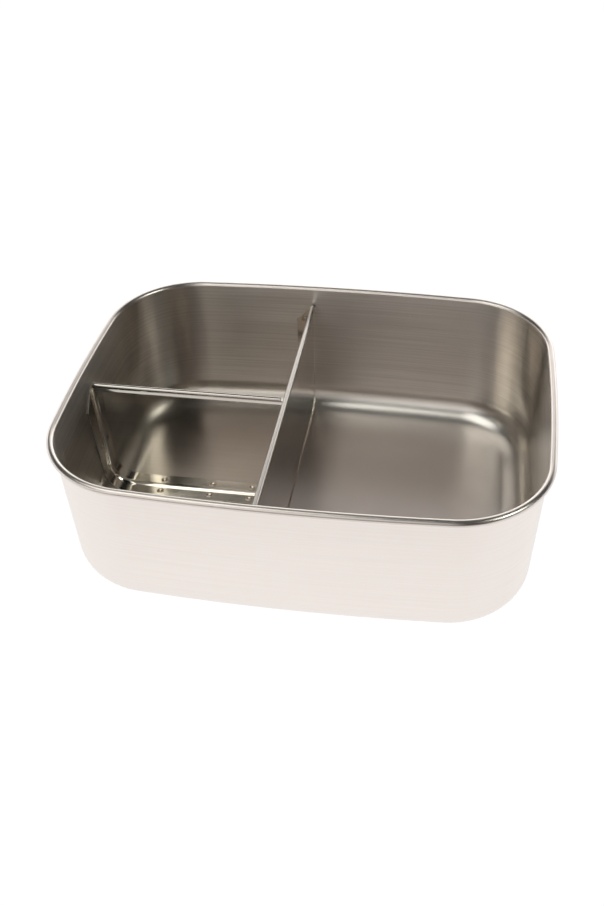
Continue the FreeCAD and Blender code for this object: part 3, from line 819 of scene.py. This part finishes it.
def shoulder_mesh(node, flange_axis, zones, sizes):
    """Leaning shoulder with a round nose along the web under the hem, where the sheet bends into its roll."""
    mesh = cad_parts[node].data
    _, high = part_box(node)
    run_axis = 1 - flange_axis
    hem_faces = (face for face, zone in zip(mesh.polygons, zones) if zone == HEM)
    run = [mesh.vertices[spot].co[run_axis] for face in hem_faces for spot in face.vertices]
    web_face = high[flange_axis] - sizes.hem_diameter / 2 - sizes.sheet / 2
    top = high.z - sizes.hem_diameter / 2 - sizes.shoulder_drop
    nose = sizes.shoulder_nose
    lean = sizes.shoulder_lean
    nose_depth = sizes.shoulder_stand - nose
    rise = (nose_depth + nose * math.cos(lean)) / math.tan(lean)
    nose_height = top - rise - nose * math.sin(lean)
    inset = sizes.sheet / 4
    outline = [(web_face + inset, nose_height - nose), (web_face + inset, top), (web_face, top)]
    for step in range(SHOULDER_STEPS + 1):
        turn = lean - (lean + math.pi / 2) * step / SHOULDER_STEPS
        outline.append((web_face - nose_depth - nose * math.cos(turn), nose_height + nose * math.sin(turn)))
    count = len(outline)
    points = []
    for end in (min(run), max(run)):
        for depth, height in outline:
            spot = Vector((0.0, 0.0, height))
            spot[flange_axis] = depth
            spot[run_axis] = end
            points.append(spot)
    faces = [tuple(range(count)), tuple(range(2 * count - 1, count - 1, -1))]
    for index in range(count):
        following = (index + 1) % count
        faces.append((following, index, index + count, following + count))
    return smooth_mesh(node + "_hem_shoulder", points, faces)


class LUNCHTRAY_OT_dividers(Operator):
    """Finish the sheet, the rolled hems and the sheared edges of the two folded dividers"""

    bl_idname = "lunchtray.dividers"
    bl_label = "Folded Dividers"

    def execute(self, context):
        finish = context.scene.steel_finish
        sizes = context.scene.divider_sizes
        long_sheet = bright_divider("long_divider_sheet_steel", finish.long_steel)
        cross_sheet = bright_divider("cross_divider_sheet_steel", finish.cross_steel)
        edge = sheared_edge()
        dull = finish.dull_steel
        # The long divider's hem takes the shaded inside steel, painted shade
        satin = rolled_hem("satin_hem_steel", finish.shaded_inside_steel, finish.hem_roughness, hatching=0.08)
        polished = rolled_hem("polished_hem_steel", dull, finish.polish_roughness, hatching=0.04)
        burnished = rolled_hem("burnished_shoulder_steel", dull, finish.divider_roughness, hatching=0.04)
        dividers = (("long_divider", 0, long_sheet, satin), ("cross_divider", 1, cross_sheet, polished))
        for node, flange_axis, sheet, hem in dividers:
            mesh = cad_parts[node].data
            zones = divider_zones(node, flange_axis, sizes)
            mesh.materials.clear()
            for material in (sheet, hem, edge):
                mesh.materials.append(material)
            mesh.polygons.foreach_set("material_index", zones)
            shoulder = new_object(node + "_hem_shoulder", shoulder_mesh(node, flange_axis, zones, sizes))
            shoulder.data.materials.append(burnished)
            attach(shoulder, "root")
        return {"FINISHED"}


def islands(mesh):
    """Faces of a mesh in connected groups."""
    leader = list(range(len(mesh.vertices)))

    def first_of(spot):
        while leader[spot] != spot:
            spot = leader[spot]
        return spot

    for face in mesh.polygons:
        start = first_of(face.vertices[0])
        for spot in face.vertices:
            leader[first_of(spot)] = start
    found = {}
    for face in mesh.polygons:
        found.setdefault(first_of(face.vertices[0]), []).append(face)
    return found.values()


FLAT = 0.9


def weld_seats(node):
    """Middle and inward direction of the flat face of each weld in a node."""
    tray_middle = (TRAY_LOW + TRAY_HIGH) / 2
    seats = []
    for faces in islands(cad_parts[node].data):
        area = sum(face.area for face in faces)
        facing = sum((face.normal * face.area for face in faces), Vector()) / area
        middle = sum((face.center * face.area for face in faces), Vector()) / area
        if facing.length > FLAT and facing.dot(tray_middle - middle) > 0:
            seats.append((middle, facing.normalized()))
    return seats


BOWL_STEPS = 6
LIP_STEPS = 6
DIMPLE_SIDES = 32


def dimple_section(sizes):
    """Half section of a dimple, from its middle to its underside, as radius and height over the flange."""
    bowl = sizes.bowl_diameter / 2
    lip = sizes.lip_diameter / 2
    rows = []
    for step in range(1, BOWL_STEPS):
        part = step / BOWL_STEPS
        rows.append((bowl * part, sizes.bowl_depth * (part * part - 1)))
    for step in range(LIP_STEPS + 1):
        part = step / LIP_STEPS
        rise = sizes.lip_height * math.sin(math.pi * part)
        rows.append((bowl + (lip - bowl) * part, rise + sizes.film * part))
    rows.append((sizes.stain_diameter / 2, sizes.film))
    rows.append((sizes.stain_diameter / 2, -sizes.film))
    rows.append((bowl, -sizes.film - sizes.bowl_depth))
    return rows


def dimples_mesh(name, seats, sizes):
    """One closed dimple for each seat, with the distance from its middle as a map."""
    rows = dimple_section(sizes)
    points = []
    faces = []
    for middle, facing in seats:
        turn = facing.to_track_quat("Z", "Y")
        seat = middle + facing * sizes.sunk
        start = len(points)
        for radius, height in rows:
            for side in range(DIMPLE_SIDES):
                around = 2 * math.pi * side / DIMPLE_SIDES
                spot = Vector((radius * math.cos(around), radius * math.sin(around), height))
                points.append(seat + turn @ spot)
        for row in range(len(rows) - 1):
            lower = start + row * DIMPLE_SIDES
            for side in range(DIMPLE_SIDES):
                following = (side + 1) % DIMPLE_SIDES
                upper = lower + DIMPLE_SIDES
                faces.append((lower + side, upper + side, upper + following, lower + following))
        last = start + (len(rows) - 1) * DIMPLE_SIDES
        bowl_top = len(points)
        points.append(seat - facing * sizes.bowl_depth)
        for side in range(DIMPLE_SIDES):
            faces.append((bowl_top, start + side, start + (side + 1) % DIMPLE_SIDES))
        faces.append(tuple(range(last + DIMPLE_SIDES - 1, last - 1, -1)))
    mesh = smooth_mesh(name, points, faces)
    layer = mesh.uv_layers.new(name="ring")
    per_seat = len(rows) * DIMPLE_SIDES + 1
    outer = sizes.stain_diameter / 2
    for loop in mesh.loops:
        row = loop.vertex_index % per_seat // DIMPLE_SIDES
        radius = rows[row][0] if row < len(rows) else 0.0
        layer.data[loop.index].uv = (radius / outer, 0.0)
    return mesh


class LUNCHTRAY_OT_welds(Operator):
    """Press a dished dimple at each spot weld that holds the dividers"""

    bl_idname = "lunchtray.welds"
    bl_label = "Spot Welds"

    def execute(self, context):
        material = weld_steel()
        for node in ("long_divider_welds", "cross_divider_welds"):
            name = node.replace("welds", "dimples")
            dimples = new_object(name, dimples_mesh(name, weld_seats(node), context.scene.weld_sizes))
            dimples.data.materials.append(material)
            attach(dimples, "root")
            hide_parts(node)
        return {"FINISHED"}


# Studio


def seen_directly(tree):
    """1 for the camera, for reflections and for what shows through, and 0 for other light."""
    light = add_node(tree, "ShaderNodeLightPath")
    seen = maths(tree, "ADD", light.outputs["Is Camera Ray"], light.outputs["Is Glossy Ray"])
    return maths(tree, "ADD", seen, light.outputs["Is Transmission Ray"], clamp=True)


FLOOR_SIZE = 6.0
FLOOR_DROP = 0.0002
FLOOR_PAPER = (0.8, 0.8, 0.8)
# Share of the board that glows, while the rest is lit and holds the shadow; with the strength it comes to 1
FLOOR_GLOW = 0.94
GLOW_STRENGTH = 1.06
# Depth over which reflections see the board end in front of the tray
BOARD_EDGE = (-0.21, -0.155)


def pale_floor(settings):
    """White board that glows white to the eye and keeps a faint shadow; reflections see it end in front."""
    material = bpy.data.materials.new("pale_floor")
    material.use_nodes = True
    tree = material.node_tree
    tree.nodes.clear()
    paper = add_node(tree, "ShaderNodeBsdfDiffuse")
    paper.inputs["Color"].default_value = opaque(FLOOR_PAPER)
    glow = add_node(tree, "ShaderNodeEmission")
    glow.inputs["Strength"].default_value = GLOW_STRENGTH
    light = add_node(tree, "ShaderNodeLightPath")
    depth = parts_of(tree, add_node(tree, "ShaderNodeTexCoord").outputs["Object"])[1]
    beyond = maths(tree, "MULTIPLY", fall(tree, depth, *BOARD_EDGE), light.outputs["Is Glossy Ray"])
    board = mixed(tree, beyond, opaque(settings.backdrop), opaque(settings.far_floor))
    feed(tree, glow.inputs["Color"], board)
    clear = add_node(tree, "ShaderNodeBsdfTransparent")
    lit = add_node(tree, "ShaderNodeMixShader")
    feed(tree, lit.inputs[0], maths(tree, "MULTIPLY", seen_directly(tree), FLOOR_GLOW))
    feed(tree, lit.inputs[1], paper.outputs[0])
    feed(tree, lit.inputs[2], glow.outputs[0])
    sides = add_node(tree, "ShaderNodeMixShader")
    feed(tree, sides.inputs[0], add_node(tree, "ShaderNodeNewGeometry").outputs["Backfacing"])
    feed(tree, sides.inputs[1], lit.outputs[0])
    feed(tree, sides.inputs[2], clear.outputs[0])
    feed(tree, add_node(tree, "ShaderNodeOutputMaterial").inputs["Surface"], sides.outputs[0])
    return material


ROOM_STRENGTH = 2.0
# Fades over the level direction's part to the right or back, and over the sine of the elevation
FRONT_TO_RIGHT = (-0.08, 0.32)
LEFT_TO_FRONT = (-0.95, -0.30)
GLOW_TO_PAPER = (0.45, 0.80)
PAPER_LEFT = (-0.47, -0.27)
PAPER_RIGHT = (0.15, 0.35)
PAPER_TOP = (0.745, 0.85)
CEILING_EDGE = (0.94, 1.0)
# Upper end of the low glows: at the sides, what front and back add, and how that leans towards the front
GLOW_TOP = 0.087
GLOW_CREST = 0.51
GLOW_CREST_LEAN = -0.07
GLOW_EDGE = (-0.08, 0.08)


def studio_world(settings):
    """Room that is white to the camera; other rays see it dim, with low glows and bright paper behind."""
    world = bpy.data.worlds.new("studio")
    world.use_nodes = True
    tree = world.node_tree
    tree.nodes.clear()
    x, y, z = parts_of(tree, add_node(tree, "ShaderNodeTexCoord").outputs["Generated"])
    level = add_node(tree, "ShaderNodeVectorMath", operation="NORMALIZE")
    feed(tree, level.inputs[0], vector_of(tree, x, y, 0.0))
    right, back = parts_of(tree, level.outputs[0])[:2]
    dimming = ramp(tree, right, *FRONT_TO_RIGHT)
    front = mixed(tree, dimming, opaque(settings.front_glow), opaque(settings.right_glow))
    glow = mixed(tree, ramp(tree, right, *LEFT_TO_FRONT), opaque(settings.left_glow), front)
    low = mixed(tree, ramp(tree, back, *GLOW_TO_PAPER), glow, opaque(settings.back_paper))
    sheet = maths(tree, "GREATER_THAN", back, 0.0)
    edges = (ramp(tree, right, *PAPER_LEFT), fall(tree, right, *PAPER_RIGHT), fall(tree, z, *PAPER_TOP))
    for edge in edges:
        sheet = maths(tree, "MULTIPLY", sheet, edge)
    roof = mixed(tree, ramp(tree, z, *CEILING_EDGE), opaque(settings.room), opaque(settings.ceiling))
    high = mixed(tree, sheet, roof, opaque(settings.high_paper))
    crest = maths(tree, "MULTIPLY_ADD", back, GLOW_CREST_LEAN, GLOW_CREST)
    top = maths(tree, "MULTIPLY_ADD", maths(tree, "MULTIPLY", back, back), crest, GLOW_TOP)
    sky = mixed(tree, ramp(tree, maths(tree, "SUBTRACT", z, top), *GLOW_EDGE), low, high)
    camera_ray = add_node(tree, "ShaderNodeLightPath").outputs["Is Camera Ray"]
    background = add_node(tree, "ShaderNodeBackground")
    feed(tree, background.inputs["Strength"], maths(tree, "SUBTRACT", ROOM_STRENGTH, camera_ray))
    feed(tree, background.inputs["Color"], mixed(tree, camera_ray, sky, opaque(settings.backdrop)))
    feed(tree, add_node(tree, "ShaderNodeOutputWorld").inputs["Surface"], background.outputs[0])
    return world


LAMP_DISTANCE = 1.2
# Name, azimuth and elevation in degrees, size in metres, tint and radiance
LAMPS = (
    ("front_softbox", -128.5, 60.2, (0.93, 0.67), (0.99, 1.0, 0.95), 1.85),
    ("right_softbox", 109.7, 38.8, (0.53, 0.46), (0.97, 1.0, 0.91), 4.4),
)


def add_lamp(name, azimuth, elevation, size, tint, radiance):
    """A soft rectangular lamp aimed at the tray; azimuth 0 is behind the tray and 90 to its right."""
    data = bpy.data.lights.new(name, "AREA")
    data.shape = "RECTANGLE"
    data.size, data.size_y = size
    data.color = tint
    data.energy = radiance * math.pi * size[0] * size[1]
    turn, rise = math.radians(azimuth), math.radians(elevation)
    away = Vector((math.sin(turn) * math.cos(rise), math.cos(turn) * math.cos(rise), math.sin(rise)))
    lamp = new_object(name, data)
    lamp.location = away * LAMP_DISTANCE
    lamp.rotation_mode = "QUATERNION"
    lamp.rotation_quaternion = away.to_track_quat("Z", "Y")
    lamp.visible_camera = False


SENSOR_WIDTH = 36.0
CLIP_START = 0.01


def add_camera(settings):
    """Camera at the picture's place, aimed and rolled as the picture was."""
    data = bpy.data.cameras.new("camera")
    data.sensor_width = SENSOR_WIDTH
    data.lens = settings.focal_pixels * data.sensor_width / max(PHOTO_WIDTH, PHOTO_HEIGHT)
    data.clip_start = CLIP_START
    camera = new_object("camera", data)
    eye = Vector(settings.eye)
    back = (eye - Vector(settings.target)).normalized()
    right = Vector((0.0, 0.0, 1.0)).cross(back).normalized()
    turned = Matrix.Rotation(settings.roll, 3, back) @ right
    axes = Matrix((turned, back.cross(turned), back)).transposed()
    camera.matrix_world = Matrix.Translation(eye) @ axes.to_4x4()
    bpy.context.scene.camera = camera


class LUNCHTRAY_OT_stage(Operator):
    """Set the pale floor, the room's light, the lamps and the camera"""

    bl_idname = "lunchtray.stage"
    bl_label = "Studio"

    def execute(self, context):
        settings = context.scene.studio_settings
        mesh = bpy.data.meshes.new("floor")
        half = FLOOR_SIZE / 2
        corners = [(-half, -half, 0), (half, -half, 0), (half, half, 0), (-half, half, 0)]
        mesh.from_pydata(corners, [], [(0, 1, 2, 3)])
        mesh.materials.append(pale_floor(settings))
        floor = new_object("floor", mesh)
        floor.location.z = -FLOOR_DROP
        context.scene.world = studio_world(settings)
        for lamp in LAMPS:
            add_lamp(*lamp)
        add_camera(settings)
        context.scene.view_settings.view_transform = "Standard"
        return {"FINISHED"}


class LUNCHTRAY_PT_panel(Panel):
    """Sidebar panel with every piece and its settings"""

    bl_idname = "LUNCHTRAY_PT_panel"
    bl_label = "Divided Lunch Tray"
    bl_space_type = "VIEW_3D"
    bl_region_type = "UI"
    bl_category = "Lunch Tray"

    def draw(self, context):
        for operator in OPERATORS:
            self.layout.operator(operator.bl_idname)
        for group in SETTINGS:
            box = self.layout.box()
            values = getattr(context.scene, group)
            for name in values.bl_rna.properties.keys():
                if name not in ("rna_type", "name"):
                    box.prop(values, name)


OPERATORS = (LUNCHTRAY_OT_shell, LUNCHTRAY_OT_dividers, LUNCHTRAY_OT_welds, LUNCHTRAY_OT_stage)
SETTINGS = {
    "shell_sizes": ShellSizes,
    "divider_sizes": DividerSizes,
    "weld_sizes": WeldSizes,
    "steel_finish": SteelFinish,
    "studio_settings": StudioSettings,
}


def register():
    """Registers the settings, the operators and the panel."""
    for kind in (*SETTINGS.values(), *OPERATORS, LUNCHTRAY_PT_panel):
        bpy.utils.register_class(kind)
    for name, kind in SETTINGS.items():
        setattr(bpy.types.Scene, name, PointerProperty(type=kind))


def unregister():
    """Takes the add-on's classes and settings out again."""
    for name in SETTINGS:
        delattr(bpy.types.Scene, name)
    for kind in (LUNCHTRAY_PT_panel, *reversed(OPERATORS), *reversed(SETTINGS.values())):
        bpy.utils.unregister_class(kind)


if __name__ == "__main__":
    main()
